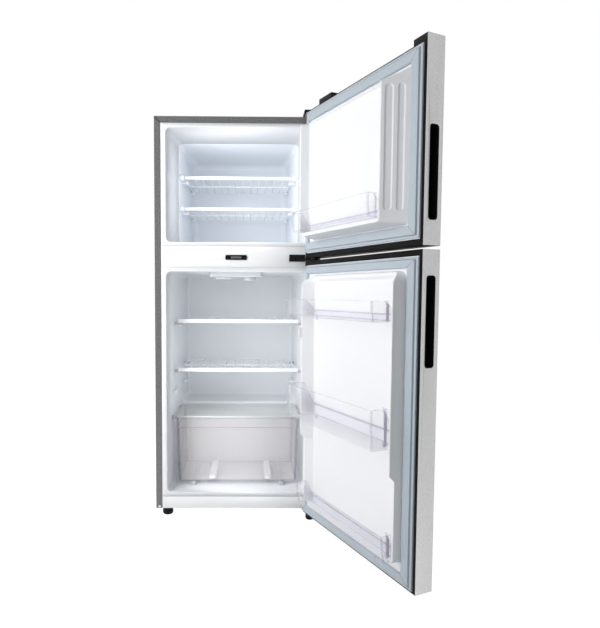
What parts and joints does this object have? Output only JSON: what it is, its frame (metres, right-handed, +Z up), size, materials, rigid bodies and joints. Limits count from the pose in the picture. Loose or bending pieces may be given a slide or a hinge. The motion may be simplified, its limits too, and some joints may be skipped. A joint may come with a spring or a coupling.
{
  "type": "top freezer refrigerator",
  "caption": "Upright refrigerator with a small freezer above, both doors hinged on the right, wire shelves, clear door bins and a crisper drawer.",
  "frame": {"origin": "on the floor, below the middle of the cabinet's front plane", "axes": "+X to the right seen from the front, +Y to the back, +Z up"},
  "size_m": [0.7526, 1.0297, 1.3298],
  "materials": {
    "cabinet_paint": "speckled metallic grey paint",
    "zinc_sheet": "zinc coated sheet",
    "foam": "rigid foam",
    "white_plastic": "semi gloss",
    "freezer_coating": "smooth white coating",
    "trim_white": "gloss",
    "coated_wire": "white powder coat",
    "silver_skin": "fine brushed silver",
    "black_plastic": "fine grain",
    "gasket": "soft matt",
    "rubber": "matt",
    "steel": "plated",
    "black_steel": "satin black paint",
    "tube": "drawn tube",
    "shelf_glass": "clear, green edge",
    "lens": "frosted clear",
    "dial_grey": "satin",
    "clear_plastic": "clear, faint violet"
  },
  "bodies": {
    "cabinet": {"back_panel": "zinc_sheet", "base_panel": "white_plastic", "bottom_hinge": "steel", "cabinet_insulation": "foam", "cabinet_wrapper": "cabinet_paint", "centre_hinge": "black_steel", "compressor": "black_steel", "compressor_mounts": "rubber", "compressor_tray": "zinc_sheet", "condenser_tube": "tube", "control_box": "white_plastic", "crisper_glass": "shelf_glass", "crisper_glass_trim": "trim_white", "drip_tray": "black_plastic", "floor_pan": "zinc_sheet", "freezer_box": "freezer_coating", "freezer_liner": "white_plastic", "freezer_shelf_rests": "white_plastic", "fridge_liner": "white_plastic", "fridge_supports": "white_plastic", "hinge_screws": "steel", "lamp_lens": "lens", "mullion_cover": "white_plastic", "rear_feet": "black_plastic", "relay_cover": "black_plastic", "suction_line": "tube", "switch_housing": "black_plastic", "top_hinge": "steel", "top_hinge_cover": "black_plastic"},
    "freezer_door": {"freezer_door_bottom_cap": "black_plastic", "freezer_door_gasket": "gasket", "freezer_door_grip": "black_plastic", "freezer_door_insulation": "foam", "freezer_door_liner": "white_plastic", "freezer_door_skin": "silver_skin", "freezer_door_top_cap": "black_plastic"},
    "fridge_door": {"fridge_door_bottom_cap": "black_plastic", "fridge_door_gasket": "gasket", "fridge_door_grip": "black_plastic", "fridge_door_insulation": "foam", "fridge_door_liner": "white_plastic", "fridge_door_skin": "silver_skin", "fridge_door_top_cap": "black_plastic"},
    "crisper_drawer_body": {"crisper_drawer": "clear_plastic"},
    "freezer_bin_body": {"freezer_bin": "clear_plastic"},
    "egg_shelf_body": {"egg_shelf": "clear_plastic"},
    "bottle_shelf_body": {"bottle_shelf": "clear_plastic"},
    "sauce_shelf_body": {"sauce_shelf": "clear_plastic"},
    "dial": {"thermostat_dial": "dial_grey"},
    "switch_button": {"switch_plunger": "steel"},
    "left_foot": {"front_left_foot": "black_plastic"},
    "right_foot": {"front_right_foot": "black_plastic"},
    "freezer_shelf_lower": {"freezer_shelf_lower_trim": "trim_white", "freezer_shelf_lower_wires": "coated_wire"},
    "freezer_shelf_upper": {"freezer_shelf_upper_trim": "trim_white", "freezer_shelf_upper_wires": "coated_wire"},
    "fridge_shelf_lower": {"fridge_shelf_lower_trim": "trim_white", "fridge_shelf_lower_wires": "coated_wire"},
    "fridge_shelf_upper": {"fridge_shelf_upper_trim": "trim_white", "fridge_shelf_upper_wires": "coated_wire"}
  },
  "joints": [
    {"name": "freezer_door_hinge", "type": "hinge", "parent": "cabinet", "child": "freezer_door", "pos_m": [0.25, -0.038, 0], "axis": [0, 0, 1], "range_deg": [-113.8, 16.2]},
    {"name": "fridge_door_hinge", "type": "hinge", "parent": "cabinet", "child": "fridge_door", "pos_m": [0.25, -0.038, 0], "axis": [0, 0, 1], "range_deg": [-113.8, 16.2]},
    {"name": "crisper_drawer_slide", "type": "slide", "parent": "cabinet", "child": "crisper_drawer_body", "axis": [0, -1, 0], "range_m": [0, 0.12]},
    {"name": "freezer_shelf_lower_slide", "type": "slide", "parent": "cabinet", "child": "freezer_shelf_lower", "axis": [0, -1, 0], "range_m": [0, 0.12]},
    {"name": "freezer_shelf_upper_slide", "type": "slide", "parent": "cabinet", "child": "freezer_shelf_upper", "axis": [0, -1, 0], "range_m": [0, 0.12]},
    {"name": "fridge_shelf_lower_slide", "type": "slide", "parent": "cabinet", "child": "fridge_shelf_lower", "axis": [0, -1, 0], "range_m": [0, 0.12]},
    {"name": "fridge_shelf_upper_slide", "type": "slide", "parent": "cabinet", "child": "fridge_shelf_upper", "axis": [0, -1, 0], "range_m": [0, 0.12]},
    {"name": "freezer_bin_lift", "type": "slide", "parent": "freezer_door", "child": "freezer_bin_body", "axis": [0, 0, 1], "range_m": [0, 0.03]},
    {"name": "egg_shelf_lift", "type": "slide", "parent": "fridge_door", "child": "egg_shelf_body", "axis": [0, 0, 1], "range_m": [0, 0.03]},
    {"name": "bottle_shelf_lift", "type": "slide", "parent": "fridge_door", "child": "bottle_shelf_body", "axis": [0, 0, 1], "range_m": [0, 0.03]},
    {"name": "sauce_shelf_lift", "type": "slide", "parent": "fridge_door", "child": "sauce_shelf_body", "axis": [0, 0, 1], "range_m": [0, 0.03]},
    {"name": "thermostat_turn", "type": "hinge", "parent": "cabinet", "child": "dial", "pos_m": [0.04, 0.115, 0.79], "axis": [0, 0, -1], "range_deg": [-135, 135]},
    {"name": "switch_press", "type": "slide", "parent": "cabinet", "child": "switch_button", "axis": [0, 1, 0], "range_m": [0, 0.003], "stiffness_N_per_m": 300},
    {"name": "left_foot_turn", "type": "hinge", "parent": "cabinet", "child": "left_foot", "pos_m": [-0.233, 0.018, 0], "axis": [0, 0, 1], "continuous": true},
    {"name": "right_foot_turn", "type": "hinge", "parent": "cabinet", "child": "right_foot", "pos_m": [0.24, -0.026, 0], "axis": [0, 0, 1], "continuous": true}
  ]
}
